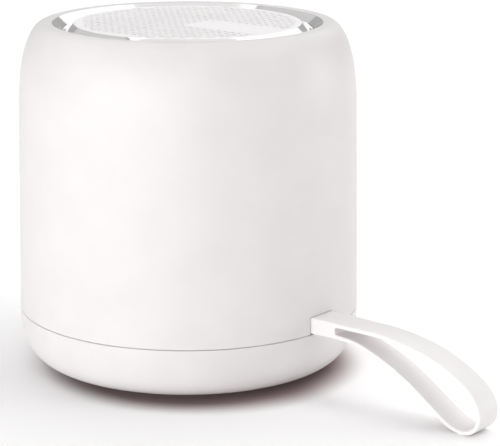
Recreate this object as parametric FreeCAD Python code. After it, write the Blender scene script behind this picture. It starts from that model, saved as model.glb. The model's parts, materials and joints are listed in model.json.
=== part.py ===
"""Small portable speaker with a rubber carry strap.

Millimetres. The origin is the centre of the foot's face on the floor, +Z is
up, +X is the side that the strap leaves from, and the controls are on -X.
"""
import FreeCAD, Part
import math
import os

V = FreeCAD.Vector
Z_AXIS = V(0, 0, 1)
X_AXIS = V(1, 0, 0)
Y_AXIS = V(0, 1, 0)

# ---- driving dimensions ------------------------------------------------
WALL_R = 38.0           # outer radius at the seam
TAPER = 0.0154          # radius lost per mm of height above the seam
SEAM_Z = 13.4           # height of the seam
SEAM_GAP = 0.26         # open height of the seam
SHOULDER_Z = 58.9       # height where the wall turns into the shoulder
RIM_Z = 77.1            # top ridge of the rim
RIM_R = 31.4            # radius of that ridge
LIP_R = 29.66           # inner edge of the rim, where the groove starts
LIP_DROP = 0.04         # how far the lip lies below the ridge
BASE_Z = 1.5            # underside of the base cover
BASE_R = 29.9           # radius of the flat underside
WALL_T = 2.3            # wall thickness

DISC_R = 25.03          # edge of the grille's flat disc
DISC_Z = 76.93          # top of the disc
GROOVE_Z = 75.4         # floor of the groove
GROOVE_R0, GROOVE_R1 = 26.7, 27.75   # inner and outer edge of that floor
SHELF_Z = 72.0          # shelf that the trim ring sits on
PLATE_T = 1.0           # thickness of the perforated disc
HOLE_PITCH = 1.98
HOLE_R = 0.45
HOLE_LIMIT_R = 23.5     # no hole centre lies further out
PATCH_X, PATCH_Y = 2.6, 5.2   # the disc is plain beyond this x within this y
BORE_R, BORE_Z = 28.6, 71.0   # bore of the shell under the shelf, and its lower end
TONGUE_R0, TONGUE_R1 = 34.8, 36.3   # tongue of the base cover inside the shell
TONGUE_Z = 16.4
OUTSIDE_X = -42.0       # clear of the wall, where cuts from the controls' side start

STRAP_W = 7.2           # width of the rubber band
STRIP_T = 0.92          # thickness of one strip of the loop
STRAP_Z0, STRAP_Z1 = 13.7, 17.25    # block in the notch
LOOP_LOW_Z = 13.8       # underside of the lower strip where the strips part
LOOP_FAR_Y = 3.1        # the loop is narrower on this side once clear of the block
ROOT_TIP_X = 44.1       # where the solid block ends and the strips part
GAP_CORNER_R = 0.35     # corners of the blunt end of the gap between the strips
HINGE_X, HINGE_Z = 41.2, 15.4       # the bend of the strap
KNUCKLE_R = 1.6
PIN_X, PIN_R = 30.8, 1.0
SLOT_GAP = 0.15         # clearance round the strap in its notch

BUTTON_Z = {"minus": 36.0, "play": 45.0, "plus": 54.0}
BUTTON_R = 3.6
USB_Z = 22.5
LED_Y, MIC_Y, PINHOLE_Z = 3.5, -3.5, 28.6

DRIVER_Z = 70.8         # top of the baffle, where the driver's flange lies
CHASSIS_Z0, CHASSIS_Z1 = 19.5, 21.5
BOARD_Z = 10.0          # underside of the main board
BOARD_T = 1.2
BATTERY_X, BATTERY_Z, BATTERY_R, BATTERY_L = 2.0, 33.0, 9.1, 65.0
CONTROL_X = -27.4       # inner face of the control board
CONTROL_SCREW_Y, CONTROL_SCREW_Z = 10.6, 29.0
BOARD_TOP = BOARD_Z + BOARD_T
BOARD_FACE_X = CONTROL_X - BOARD_T
SWITCH_FACE_X = BOARD_FACE_X - 2.0
PLUNGER_X = SWITCH_FACE_X - 0.8
SADDLE_Y = 21.0         # battery saddles on either side of the middle
CLAMP_SCREW_X = 14.0    # from the battery's axis
CLAMP_W = 3.0           # half width of the battery clamp

BATTERY_SOCKET = (18.0, 0.0)
SPEAKER_SOCKET = (-12.0, 22.0)
LEAD_R = 0.6

BASE_SCREW_R = 22.0     # circle of the base screws
SHELL_SCREW_R = 32.6    # circle of the chassis screws
DRIVER_SCREW_R = 24.7
BAFFLE_SCREW_R = 31.2
DIAGONALS = (45, 135, 225, 315)
BOARD_SCREW_R = 25.0
BOARD_SCREW_ANGLES = (20, 80, 200, 260)


# ---- helpers -----------------------------------------------------------
def polar(radius, degrees, z=0.0):
    a = math.radians(degrees)
    return V(radius * math.cos(a), radius * math.sin(a), z)


def cyl(radius, z0, z1, x=0.0, y=0.0):
    return Part.makeCylinder(radius, z1 - z0, V(x, y, z0), Z_AXIS)


def rod(radius, start, direction, length):
    return Part.makeCylinder(radius, length, start, direction)


def box(x0, x1, y0, y1, z0, z1):
    return Part.makeBox(x1 - x0, y1 - y0, z1 - z0, V(x0, y0, z0))


def ring(r0, r1, z0, z1):
    return cyl(r1, z0, z1).cut(cyl(r0, z0 - 1, z1 + 1))


def fuse(first, *others):
    return first.multiFuse(list(others)).removeSplitter()


def cut(first, *others):
    return first.cut(list(others))


def group(solids):
    return Part.makeCompound(list(solids))


def on_circle(radius, angles, make):
    """Solids that make(x, y) builds at each angle of a circle."""
    spots = [polar(radius, a) for a in angles]
    return [make(p.x, p.y) for p in spots]


def turned(edges):
    """A solid of revolution about Z from a closed outline in the XZ plane."""
    face = Part.Face(Part.Wire(edges))
    return face.revolve(V(0, 0, 0), Z_AXIS, 360)


def lines(*points):
    """Straight edges through (r, z) points."""
    spots = [V(r, 0, z) for r, z in points]
    return [Part.makeLine(a, b) for a, b in zip(spots, spots[1:])]


def turned_polygon(*points):
    return turned(lines(*points, points[0]))


def superellipse(r_in, r_out, z_flat, z_end, power, count=11):
    """Edge from the wall (r_out, z_flat) round to the level end (r_in, z_end)."""
    spots = []
    for i in range(count):
        a = math.radians(90.0 * i / (count - 1))
        c = max(math.cos(a), 0.0) ** (2 / power)
        s = math.sin(a) ** (2 / power)
        spots.append(V(r_in + (r_out - r_in) * c, 0, z_flat + (z_end - z_flat) * s))
    spots[-1].x = r_in
    curve = Part.BSplineCurve()
    up = V(0, 0, 1 if z_end > z_flat else -1)
    curve.interpolate(Points=spots, InitialTangent=up, FinalTangent=V(-1, 0, 0))
    return curve.toShape()


def ends(edge):
    return edge.Vertexes[0].Point, edge.Vertexes[-1].Point


def wall_r(z):
    return WALL_R - TAPER * (z - SEAM_Z)


def tube(points, radius, bend):
    """A wire of straight runs joined by tangent arcs of radius bend."""
    edges = []
    start = V(*points[0])
    for before, corner, after in zip(points, points[1:], points[2:]):
        before, corner, after = V(*before), V(*corner), V(*after)
        d0 = (corner - before).normalize()
        d1 = (after - corner).normalize()
        turn = math.acos(max(-1.0, min(1.0, d0.dot(d1))))
        back = bend * math.tan(turn / 2)
        p0, p1 = corner - d0 * back, corner + d1 * back
        middle = (d1 - d0).normalize()
        apex = corner + middle * (bend / math.cos(turn / 2) - bend)
        edges.append(Part.makeLine(start, p0))
        edges.append(Part.Arc(p0, apex, p1).toShape())
        start = p1
    edges.append(Part.makeLine(start, V(*points[-1])))
    a, b = ends(edges[0])
    section = Part.Wire(Part.makeCircle(radius, a, b - a))
    return Part.Wire(edges).makePipeShell([section], True, False)


def screw(x, y, head_z, tip_z, shank_r, head_r, head_h):
    """A pan-head screw; the head stands on head_z away from the tip."""
    up = 1 if tip_z > head_z else -1
    shank = rod(shank_r, V(x, y, head_z), V(0, 0, up), abs(tip_z - head_z))
    head = rod(head_r, V(x, y, head_z), V(0, 0, -up), head_h)
    top = head_z - up * head_h
    slots = [box(x - head_r * 0.6, x + head_r * 0.6, y - 0.2, y + 0.2, top - 0.5, top + 0.5),
             box(x - 0.2, x + 0.2, y - head_r * 0.6, y + head_r * 0.6, top - 0.5, top + 0.5)]
    return cut(fuse(head, shank), *slots)


# ---- housing -----------------------------------------------------------
def strap_notch():
    """Notch in the wall that the strap passes through, open to the seam."""
    side = STRAP_W / 2 + SLOT_GAP
    return box(30, 45, -side, side, SEAM_Z - 2, STRAP_Z1 + SLOT_GAP)


def make_body_shell():
    r1 = wall_r(SHOULDER_Z)
    z0 = SEAM_Z + SEAM_GAP / 2
    wall = Part.makeLine(V(wall_r(z0), 0, z0), V(r1, 0, SHOULDER_Z))
    shoulder = superellipse(RIM_R, r1, SHOULDER_Z, RIM_Z, 2.07)
    width = RIM_R - LIP_R
    edge_r = (width ** 2 + LIP_DROP ** 2) / (2 * LIP_DROP)
    half = math.asin(width / edge_r) / 2
    crest = V(RIM_R - edge_r * math.sin(half), 0, RIM_Z - edge_r * (1 - math.cos(half)))
    lip = Part.Arc(V(RIM_R, 0, RIM_Z), crest, V(LIP_R, 0, RIM_Z - LIP_DROP)).toShape()
    inner = superellipse(BORE_R, r1 - WALL_T, 60.0, BORE_Z, 2.6)
    bore = lines((LIP_R, RIM_Z - LIP_DROP), (LIP_R, SHELF_Z), (BORE_R, SHELF_Z), (BORE_R, BORE_Z))
    recess_r = TONGUE_R1 + 0.2
    inside = lines((r1 - WALL_T, 60.0), (WALL_R - WALL_T - 0.1, 17.0), (recess_r, 17.0),
                   (recess_r, z0), (wall_r(z0), z0))
    shell = turned([wall, shoulder, lip] + bore + [inner] + inside)
    z_boss = CHASSIS_Z1
    bosses = on_circle(SHELL_SCREW_R, DIAGONALS, lambda x, y: cyl(3.1, z_boss, 34.0, x, y))
    bosses += on_circle(BAFFLE_SCREW_R, DIAGONALS, lambda x, y: cyl(2.6, 64.0, 69.0, x, y))
    shell = fuse(shell, *bosses)
    holes = on_circle(SHELL_SCREW_R, DIAGONALS, lambda x, y: cyl(1.1, z_boss - 1, 31.0, x, y))
    holes += on_circle(BAFFLE_SCREW_R, DIAGONALS, lambda x, y: cyl(0.9, 63.0, 67.5, x, y))
    for z in BUTTON_Z.values():
        holes.append(rod(BUTTON_R + 0.15, V(OUTSIDE_X, 0, z), X_AXIS, 10))
    holes.append(port(9.5, 3.8, OUTSIDE_X, -30))
    holes.append(rod(0.8, V(OUTSIDE_X, LED_Y, PINHOLE_Z), X_AXIS, 10))
    holes.append(rod(0.5, V(OUTSIDE_X, MIC_Y, PINHOLE_Z), X_AXIS, 10))
    return cut(shell, strap_notch(), *holes)


def make_base_cover():
    z1 = SEAM_Z - SEAM_GAP / 2
    foot_r, floor_z = 26.1, 2.2
    outer = superellipse(BASE_R, WALL_R, SEAM_Z, BASE_Z, 2.4)
    bottom = lines((BASE_R, BASE_Z), (foot_r, BASE_Z), (foot_r, floor_z), (0, floor_z),
                   (0, 3.7), (27.0, 3.7))
    hollow = superellipse(27.0, TONGUE_R0, 12.0, 3.7, 2.4)
    tongue = lines((TONGUE_R0, 12.0), (TONGUE_R0, TONGUE_Z), (TONGUE_R1, TONGUE_Z),
                   (TONGUE_R1, SEAM_Z), (WALL_R, SEAM_Z))
    cover = turned([outer] + bottom + [hollow] + tongue)
    seam = ring(TONGUE_R1, 40, z1, SEAM_Z + 1)
    bosses = on_circle(BASE_SCREW_R, DIAGONALS, lambda x, y: cyl(3.6, 3.0, 8.0, x, y))
    bosses += on_circle(BOARD_SCREW_R, BOARD_SCREW_ANGLES, lambda x, y: cyl(2.4, 3.0, BOARD_Z, x, y))
    lugs = [box(29.0, 32.6, s - 1.1, s + 1.1, 3.2, 17.6) for s in (-5.0, 5.0)]
    cover = fuse(cut(cover, seam), *(bosses + lugs))
    side = STRAP_W / 2 + SLOT_GAP
    holes = [box(30, 37.0, -side, side, STRAP_Z0 - 0.2, 20)]
    holes.append(rod(PIN_R + 0.03, V(PIN_X, -8, HINGE_Z), Y_AXIS, 16))
    holes += on_circle(BASE_SCREW_R, DIAGONALS, lambda x, y: cyl(1.5, 0, 9, x, y))
    holes += on_circle(BASE_SCREW_R, DIAGONALS, lambda x, y: cyl(2.6, 0, 4.4, x, y))
    holes += on_circle(BOARD_SCREW_R, BOARD_SCREW_ANGLES, lambda x, y: cyl(0.8, 5, 11, x, y))
    return cut(cover, *holes)


def make_foot_pad():
    pad = turned_polygon((0, 0), (25.4, 0), (26.0, 0.6), (26.0, 2.15), (0, 2.15))
    groove = ring(22.6, 23.4, -1, 0.4)
    return cut(pad, groove)


def make_trim_ring():
    """Sloping outer wall of the groove round the grille."""
    r_out = LIP_R - 0.05
    return turned_polygon((r_out, RIM_Z - LIP_DROP - 0.05), (r_out, SHELF_Z),
                          (GROOVE_R1 + 0.05, SHELF_Z), (GROOVE_R1 + 0.05, GROOVE_Z))


# ---- grille ------------------------------------------------------------
def is_hole(x, y):
    """True where the square lattice has a hole: inside the field, off the patch."""
    in_patch = x > PATCH_X and abs(y) < PATCH_Y
    return math.hypot(x, y) <= HOLE_LIMIT_R and not in_patch


def make_grille_cap():
    edge = 0.25
    cap = turned_polygon((0, DISC_Z), (DISC_R - edge, DISC_Z), (DISC_R, DISC_Z - 0.1),
                         (GROOVE_R0, GROOVE_Z), (GROOVE_R1, GROOVE_Z), (GROOVE_R1, DRIVER_Z),
                         (26.3, DRIVER_Z), (26.3, GROOVE_Z - 0.9), (24.4, DISC_Z - PLATE_T),
                         (0, DISC_Z - PLATE_T))
    steps = range(-12, 13)
    spots = [(i * HOLE_PITCH, j * HOLE_PITCH) for i in steps for j in steps]
    holes = [cyl(HOLE_R, DISC_Z - PLATE_T - 0.5, DISC_Z + 0.5, x, y)
             for x, y in spots if is_hole(x, y)]
    return cap.cut(Part.makeCompound(holes))


def make_grille_cloth():
    return cyl(24.2, DISC_Z - PLATE_T - 0.35, DISC_Z - PLATE_T)


# ---- driver ------------------------------------------------------------
def make_baffle():
    """A hat: a flange screwed to the shell, a tube and a top ring for the driver."""
    hat = turned_polygon((27.0, 61.6), (33.4, 61.6), (33.4, 64.0), (28.4, 64.0),
                         (28.4, DRIVER_Z), (22.8, DRIVER_Z), (22.8, DRIVER_Z - 1.8),
                         (26.8, DRIVER_Z - 1.8), (26.8, 64.0), (27.0, 64.0))
    holes = on_circle(BAFFLE_SCREW_R, DIAGONALS, lambda x, y: cyl(1.2, 60, 65, x, y))
    holes += on_circle(DRIVER_SCREW_R, DIAGONALS, lambda x, y: cyl(0.7, 68, 72, x, y))
    return cut(hat, *holes)


def make_baffle_screws():
    return group(on_circle(BAFFLE_SCREW_R, DIAGONALS,
                           lambda x, y: screw(x, y, 61.6, 67.0, 0.9, 1.9, 1.2)))


def make_driver_gasket():
    gasket = ring(22.9, 26.0, DRIVER_Z, DRIVER_Z + 0.4)
    return cut(gasket, *on_circle(DRIVER_SCREW_R, DIAGONALS, lambda x, y: cyl(0.9, 70, 72, x, y)))


def make_driver_frame():
    top = DRIVER_Z + 0.4
    frame = turned_polygon((26.0, top), (26.0, top + 1.0), (22.0, top + 1.0), (17.6, 62.0),
                           (9.4, 62.0), (9.4, 61.0), (18.2, 61.0), (22.6, top))
    ledge = ring(15.6, 18.6, 64.2, 65.0)
    windows = []
    for a in (0, 60, 120, 180, 240, 300):
        window = box(14, 24, -4.0, 4.0, 65.6, 69.8)
        window.rotate(V(0, 0, 0), Z_AXIS, a)
        windows.append(window)
    holes = on_circle(DRIVER_SCREW_R, DIAGONALS, lambda x, y: cyl(0.9, 70, 74, x, y))
    return cut(fuse(frame, ledge), *(windows + holes))


def make_driver_screws():
    top = DRIVER_Z + 1.4
    return group(on_circle(DRIVER_SCREW_R, DIAGONALS,
                           lambda x, y: screw(x, y, top, top - 3.0, 0.7, 1.2, 0.6)))


def make_driver_yoke():
    yoke = cyl(17.0, 52.5, 54.5)
    pole = cyl(6.3, 54.5, 61.4)
    return fuse(yoke, pole)


def make_driver_magnet():
    return ring(9.2, 18.2, 54.5, 59.0)


def make_driver_top_plate():
    return ring(7.9, 17.0, 59.0, 61.0)


def make_coil_former():
    return ring(6.75, 6.95, 58.6, 66.9)


def make_voice_coil():
    return ring(6.95, 7.5, 58.9, 62.0)


def make_cone():
    return turned_polygon((6.95, 66.0), (7.3, 66.0), (19.9, 71.6), (20.2, 72.2), (19.6, 72.2),
                          (7.0, 66.6), (6.95, 66.6))


def make_dust_cap():
    outer = Part.makeSphere(11.0, V(0, 0, 59.2))
    inner = Part.makeSphere(10.65, V(0, 0, 59.2))
    dome = cut(outer, inner)
    keep = cyl(7.6, 67.25, 72.0)
    return dome.common(keep)


def half_roll(r0, r1, z, thickness):
    """A half-round roll between two radii, open below."""
    middle, radius = (r0 + r1) / 2, (r1 - r0) / 2
    inner = radius - thickness
    outside = Part.Arc(V(r1, 0, z), V(middle, 0, z + radius), V(r0, 0, z)).toShape()
    inside = Part.Arc(V(r0 + thickness, 0, z), V(middle, 0, z + inner),
                      V(r1 - thickness, 0, z)).toShape()
    return turned([outside] + lines((r0, z), (r0 + thickness, z)) + [inside]
                  + lines((r1 - thickness, z), (r1, z)))


def make_surround():
    z = DRIVER_Z + 1.4
    roll = half_roll(20.2, 23.2, z, 0.35)
    lips = [ring(22.85, 23.4, z, z + 0.4), ring(20.2, 20.6, z - 0.3, z)]
    return fuse(roll, *lips)


def make_spider():
    z = 65.0
    radii = [7.05 + i * (17.6 - 7.05) / 6 for i in range(7)]
    points = []
    for i, r in enumerate(radii):
        points.append((r, z + (0.5 if i % 2 else 0.0)))
    upper = [(r, height + 0.3) for r, height in reversed(points)]
    return turned_polygon(*(points + upper))


def make_driver_terminals():
    plate = box(-3.0, 3.0, 20.1, 21.1, 62.0, 65.0)
    tags = [box(s - 0.6, s + 0.6, 21.0, 23.4, 63.2, 63.7) for s in (-1.8, 1.8)]
    return group([fuse(plate, *tags)])


# ---- chassis and battery -----------------------------------------------
def make_chassis():
    windows = [cyl(9.0, 19, 22), box(-40, -25.6, -13, 13, 19, 22),
               box(18.0, 24.0, 5, 10.5, 19, 22), box(-15.0, -9.5, 19.5, 25.0, 19, 22)]
    plate = cut(cyl(35.0, CHASSIS_Z0, CHASSIS_Z1), *windows)
    posts = on_circle(BASE_SCREW_R, DIAGONALS, lambda x, y: cyl(3.0, 8.0, CHASSIS_Z0 + 0.5, x, y))
    saddles = [box(BATTERY_X - 11, BATTERY_X + 11, s - 2, s + 2, CHASSIS_Z1 - 0.5, 31.0)
               for s in (-SADDLE_Y, SADDLE_Y)]
    ears = [box(CONTROL_X, CONTROL_X + 2.4, s - 2.4, s + 2.4, 20.0, 32.0)
            for s in (-CONTROL_SCREW_Y, CONTROL_SCREW_Y)]
    body = fuse(plate, *(posts + saddles + ears))
    bed = rod(BATTERY_R + 0.6, V(BATTERY_X, -40, BATTERY_Z), Y_AXIS, 80)
    holes = on_circle(BASE_SCREW_R, DIAGONALS, lambda x, y: cyl(1.1, 7, 17, x, y))
    holes += on_circle(SHELL_SCREW_R, DIAGONALS, lambda x, y: cyl(1.4, 19, 22, x, y))
    holes += [rod(0.8, V(-30, s, CONTROL_SCREW_Z), X_AXIS, 8)
              for s in (-CONTROL_SCREW_Y, CONTROL_SCREW_Y)]
    holes += [cyl(0.8, 19, 22, BATTERY_X + s, 0) for s in (-CLAMP_SCREW_X, CLAMP_SCREW_X)]
    return cut(body, bed, *holes)


def make_chassis_screws():
    return group(on_circle(SHELL_SCREW_R, DIAGONALS,
                           lambda x, y: screw(x, y, CHASSIS_Z0, 29.0, 1.1, 2.2, 1.3)))


def make_base_screws():
    return group(on_circle(BASE_SCREW_R, DIAGONALS,
                           lambda x, y: screw(x, y, 4.4, 16.0, 1.1, 2.3, 1.5)))


def make_battery_cell():
    cell = rod(BATTERY_R, V(BATTERY_X, -BATTERY_L / 2, BATTERY_Z), Y_AXIS, BATTERY_L - 0.8)
    cap = rod(3.2, V(BATTERY_X, BATTERY_L / 2 - 0.8, BATTERY_Z), Y_AXIS, 0.8)
    return fuse(cell, cap)


def make_battery_pads():
    pads = []
    for s in (-SADDLE_Y, SADDLE_Y):
        start = V(BATTERY_X, s - 1.8, BATTERY_Z)
        sleeve = cut(rod(BATTERY_R + 0.6, start, Y_AXIS, 3.6), rod(BATTERY_R, start, Y_AXIS, 3.6))
        pads.append(sleeve.common(box(-12, 16, s - 2, s + 2, 20, 30.9)))
    return group(pads)


def make_battery_clamp():
    start = V(BATTERY_X, -CLAMP_W, BATTERY_Z)
    arch = cut(rod(BATTERY_R + 1.7, start, Y_AXIS, 2 * CLAMP_W),
               rod(BATTERY_R + 0.1, start, Y_AXIS, 2 * CLAMP_W))
    arch = arch.common(box(-20, 24, -CLAMP_W, CLAMP_W, BATTERY_Z, 50))
    sides = []
    for x0, x1 in ((9.2, 10.8), (-10.8, -9.2)):
        sides.append(box(BATTERY_X + x0, BATTERY_X + x1, -CLAMP_W, CLAMP_W, CHASSIS_Z1, BATTERY_Z + 0.2))
    for x0, x1 in ((9.2, 16.5), (-16.5, -9.2)):
        sides.append(box(BATTERY_X + x0, BATTERY_X + x1, -CLAMP_W, CLAMP_W, CHASSIS_Z1, CHASSIS_Z1 + 1.4))
    holes = [cyl(1.0, 21, 24, BATTERY_X + s, 0) for s in (-CLAMP_SCREW_X, CLAMP_SCREW_X)]
    return cut(fuse(arch, *sides), *holes)


def make_clamp_screws():
    top = CHASSIS_Z1 + 1.4
    return group([screw(BATTERY_X + s, 0, top, CHASSIS_Z0 + 0.1, 0.8, 1.7, 1.0)
                  for s in (-CLAMP_SCREW_X, CLAMP_SCREW_X)])


# ---- main board --------------------------------------------------------
def make_main_board():
    sides = [box(26.0, 31, -9, 9, 9, 12), box(-31, -25.0, -9, 9, 9, 12)]
    board = cut(cyl(29.5, BOARD_Z, BOARD_TOP), *sides)
    holes = on_circle(BASE_SCREW_R, DIAGONALS, lambda x, y: cyl(3.3, 9, 12, x, y))
    holes += on_circle(BOARD_SCREW_R, BOARD_SCREW_ANGLES, lambda x, y: cyl(1.1, 9, 12, x, y))
    return cut(board, *holes)


def make_board_screws():
    return group(on_circle(BOARD_SCREW_R, BOARD_SCREW_ANGLES,
                           lambda x, y: screw(x, y, BOARD_TOP, 6.0, 0.8, 1.6, 1.0)))


def make_amplifier_chip():
    return box(-2.5, 2.5, 6.0, 11.0, BOARD_TOP, BOARD_TOP + 1.0)


def make_radio_module():
    card = box(-10, 10, -20.0, -8.0, BOARD_TOP, BOARD_TOP + 0.8)
    can = box(-6.5, 6.5, -18.5, -9.0, BOARD_TOP + 0.8, BOARD_TOP + 2.4)
    return fuse(card, can)


def make_power_inductor():
    return fuse(box(6, 12, 3, 9, BOARD_TOP, BOARD_TOP + 2.6),
                cyl(2.2, BOARD_TOP + 2.6, BOARD_TOP + 3.0, 9, 6))


def make_board_capacitors():
    return group([cyl(2.5, BOARD_TOP, BOARD_TOP + 5.8, x, y)
                  for x, y in ((-10, 7), (-9.5, 13.5), (9.5, 13.5))])


def socket(x, y):
    """A two-pin wire socket, open towards its wires at the top."""
    body = box(x - 3.0, x + 3.0, y - 2.2, y + 2.2, BOARD_TOP, BOARD_TOP + 4.5)
    return cut(body, box(x - 2.4, x + 2.4, y - 1.6, y + 1.6, BOARD_TOP + 1.5, BOARD_TOP + 5))


def make_battery_socket():
    return socket(*BATTERY_SOCKET)


def make_speaker_socket():
    return socket(*SPEAKER_SOCKET)


def make_ribbon_socket():
    return box(-24.0, -21.0, -5.5, 5.5, BOARD_TOP, BOARD_TOP + 2.0)


def make_battery_leads():
    """Two leads from the cell's side, down through the chassis, to their socket."""
    x, y = BATTERY_SOCKET
    leads = []
    for shift in (-0.9, 0.9):
        route = [(11.3, 12.0 + shift, 32.0), (16.2, 12.0 + shift, 30.0), (20.5, 7.5 + shift, 25.5),
                 (20.5, 7.5 + shift, 17.5), (x + shift, y, 16.6), (x + shift, y, BOARD_TOP + 1.6)]
        leads.append(tube(route, LEAD_R, 1.5))
    return group(leads)


def make_speaker_leads():
    """Two leads from the driver's tags, past the battery, to their socket."""
    x, y = SPEAKER_SOCKET
    leads = []
    for shift in (-1.8, 1.8):
        low = x + shift / 2
        route = [(shift, 22.4, 63.2), (shift, 22.4, 50.0), (low, y + 1, 44.0),
                 (low, y, 30.0), (low, y, BOARD_TOP + 1.6)]
        leads.append(tube(route, LEAD_R, 2.0))
    return group(leads)


# ---- controls ----------------------------------------------------------
def port(width, height, x0, x1):
    """A slot with round ends along X, for the charging port."""
    end_y = width / 2 - height / 2
    solids = [box(x0, x1, -end_y, end_y, USB_Z - height / 2, USB_Z + height / 2)]
    for y in (-end_y, end_y):
        solids.append(rod(height / 2, V(x0, y, USB_Z), X_AXIS, x1 - x0))
    return fuse(*solids)


def make_control_board():
    board = box(BOARD_FACE_X, CONTROL_X, -13.0, 13.0, 17.5, 59.0)
    holes = [rod(1.0, V(-30, s, CONTROL_SCREW_Z), X_AXIS, 4)
             for s in (-CONTROL_SCREW_Y, CONTROL_SCREW_Y)]
    return cut(board, *holes)


def make_control_screws():
    screws = []
    for s in (-CONTROL_SCREW_Y, CONTROL_SCREW_Y):
        shank = rod(0.8, V(BOARD_FACE_X, s, CONTROL_SCREW_Z), X_AXIS, 3.4)
        head = rod(1.6, V(BOARD_FACE_X - 1.0, s, CONTROL_SCREW_Z), X_AXIS, 1.0)
        screws.append(fuse(head, shank))
    return group(screws)


def make_usb_socket():
    wall_x = -math.sqrt(wall_r(USB_Z) ** 2 - 4.6 ** 2)
    front = wall_x + 0.9
    shell = cut(port(9.0, 3.3, front, BOARD_FACE_X), port(8.4, 2.7, front - 1, BOARD_FACE_X - 1.2))
    tongue = box(front + 0.8, BOARD_FACE_X - 1.0, -3.3, 3.3, USB_Z - 0.35, USB_Z + 0.35)
    return fuse(shell, tongue)


def make_microphone():
    body = box(BOARD_FACE_X - 1.1, BOARD_FACE_X, MIC_Y - 1.9, MIC_Y + 1.9,
               PINHOLE_Z - 1.5, PINHOLE_Z + 1.5)
    return cut(body, rod(0.4, V(BOARD_FACE_X - 2, MIC_Y, PINHOLE_Z), X_AXIS, 1.5))


def make_status_led():
    return box(BOARD_FACE_X - 0.8, BOARD_FACE_X, LED_Y - 0.8, LED_Y + 0.8,
               PINHOLE_Z - 0.5, PINHOLE_Z + 0.5)


def make_light_guide():
    wall_x = -math.sqrt(wall_r(PINHOLE_Z) ** 2 - LED_Y ** 2)
    back = BOARD_FACE_X - 1.0
    stem = rod(0.75, V(wall_x, LED_Y, PINHOLE_Z), X_AXIS, back - wall_x)
    collar = rod(1.5, V(-34.6, LED_Y, PINHOLE_Z), X_AXIS, 1.0)
    return fuse(stem, collar)


def make_switch(z):
    body = box(SWITCH_FACE_X, BOARD_FACE_X, -2.3, 2.3, z - 2.3, z + 2.3)
    return cut(body, rod(1.3, V(SWITCH_FACE_X - 1, 0, z), X_AXIS, 1.7))


def raised_mark(kind, z):
    """Minus, plus or a plain triangle, standing on the cap."""
    bars = {"minus": [box(-45, -30, -1.2, 1.2, z - 0.22, z + 0.22)],
            "plus": [box(-45, -30, -1.2, 1.2, z - 0.22, z + 0.22),
                     box(-45, -30, -0.22, 0.22, z - 1.2, z + 1.2)]}
    if kind in bars:
        return fuse(*bars[kind]) if len(bars[kind]) > 1 else bars[kind][0]
    corners = [V(-45, 0.9, z - 1.1), V(-45, 0.9, z + 1.1), V(-45, -1.1, z), V(-45, 0.9, z - 1.1)]
    return Part.Face(Part.makePolygon(corners)).extrude(V(15, 0, 0))


def make_button(kind):
    """A cap that follows the wall, with a flange behind the wall and a stem."""
    z = BUTTON_Z[kind]
    face_r = wall_r(z) + 0.25
    drum = cyl(face_r, z - 6, z + 6)
    cap = rod(BUTTON_R, V(OUTSIDE_X, 0, z), X_AXIS, 9.4).common(drum)
    flange = rod(BUTTON_R + 0.8, V(-34.5, 0, z), X_AXIS, 1.3)
    stem = rod(1.3, V(-33.2, 0, z), X_AXIS, PLUNGER_X + 33.2)
    plunger = rod(1.1, V(PLUNGER_X, 0, z), X_AXIS, 0.78)
    skin = ring(face_r - 0.2, face_r + 0.2, z - 6, z + 6)
    mark = raised_mark(kind, z).common(skin)
    return fuse(cap, flange, stem, plunger, mark)


def make_control_ribbon():
    """Flat ribbon from the control board's lower edge down to the main board."""
    x = CONTROL_X
    drop = box(x, x + 0.25, -4, 4, 12.4, 22.0)
    run = box(x, -24.0, -4, 4, 12.2, 12.45)
    return fuse(drop, run)


# ---- strap -------------------------------------------------------------
def strap_outline():
    """Outer side of the loop in the XZ plane: from its top by the block, round the
    tip and back along the underside."""
    points = [(43.4, STRAP_Z1), (45.8, 17.22), (54.0, 17.2), (61.9, 16.4), (68.0, 14.9),
              (73.9, 12.4), (79.0, 8.8), (80.95, 5.2), (80.3, 1.8), (77.6, 0.05), (74.1, 0.45),
              (70.9, 2.15), (66.2, 5.4), (60.8, 8.8), (54.3, 11.8), (48.8, 13.45),
              (43.4, LOOP_LOW_Z)]
    curve = Part.BSplineCurve()
    curve.interpolate(Points=[V(x, 0, z) for x, z in points],
                      InitialTangent=V(1, 0, 0), FinalTangent=V(-1, 0, 0))
    return curve.toShape()


def gap_outline(outline, count=48):
    """The loop's inner side: the outline moved in by one strip, with a blunt end."""
    first, last = outline.ParameterRange
    spots = []
    for i in range(count):
        u = first + (last - first) * i / (count - 1)
        spot, along = outline.valueAt(u), outline.tangentAt(u)
        moved = spot + V(along.z, 0, -along.x) * STRIP_T
        if moved.x > ROOT_TIP_X + GAP_CORNER_R:
            spots.append(moved)
    curve = Part.BSplineCurve()
    curve.interpolate(spots)
    top, low = spots[0], spots[-1]
    edges = [curve.toShape()]
    corners = []
    for z, inward in ((low.z, 1), (top.z, -1)):
        side = V(ROOT_TIP_X + GAP_CORNER_R, 0, z)
        end = V(ROOT_TIP_X, 0, z + inward * GAP_CORNER_R)
        slack = GAP_CORNER_R * (1 - math.sqrt(0.5))
        crest = V(ROOT_TIP_X + slack, 0, z + inward * slack)
        corners.append((side, crest, end))
    (low_side, low_crest, low_end), (top_side, top_crest, top_end) = corners
    edges.append(Part.makeLine(low, low_side))
    edges.append(Part.Arc(low_side, low_crest, low_end).toShape())
    edges.append(Part.makeLine(low_end, top_end))
    edges.append(Part.Arc(top_end, top_crest, top_side).toShape())
    edges.append(Part.makeLine(top_side, top))
    return edges


def across_strap(face, width=STRAP_W):
    """Extrude a face of the XZ plane over the strap's width."""
    solid = face.extrude(V(0, width, 0))
    solid.translate(V(0, -width / 2, 0))
    return solid


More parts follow.
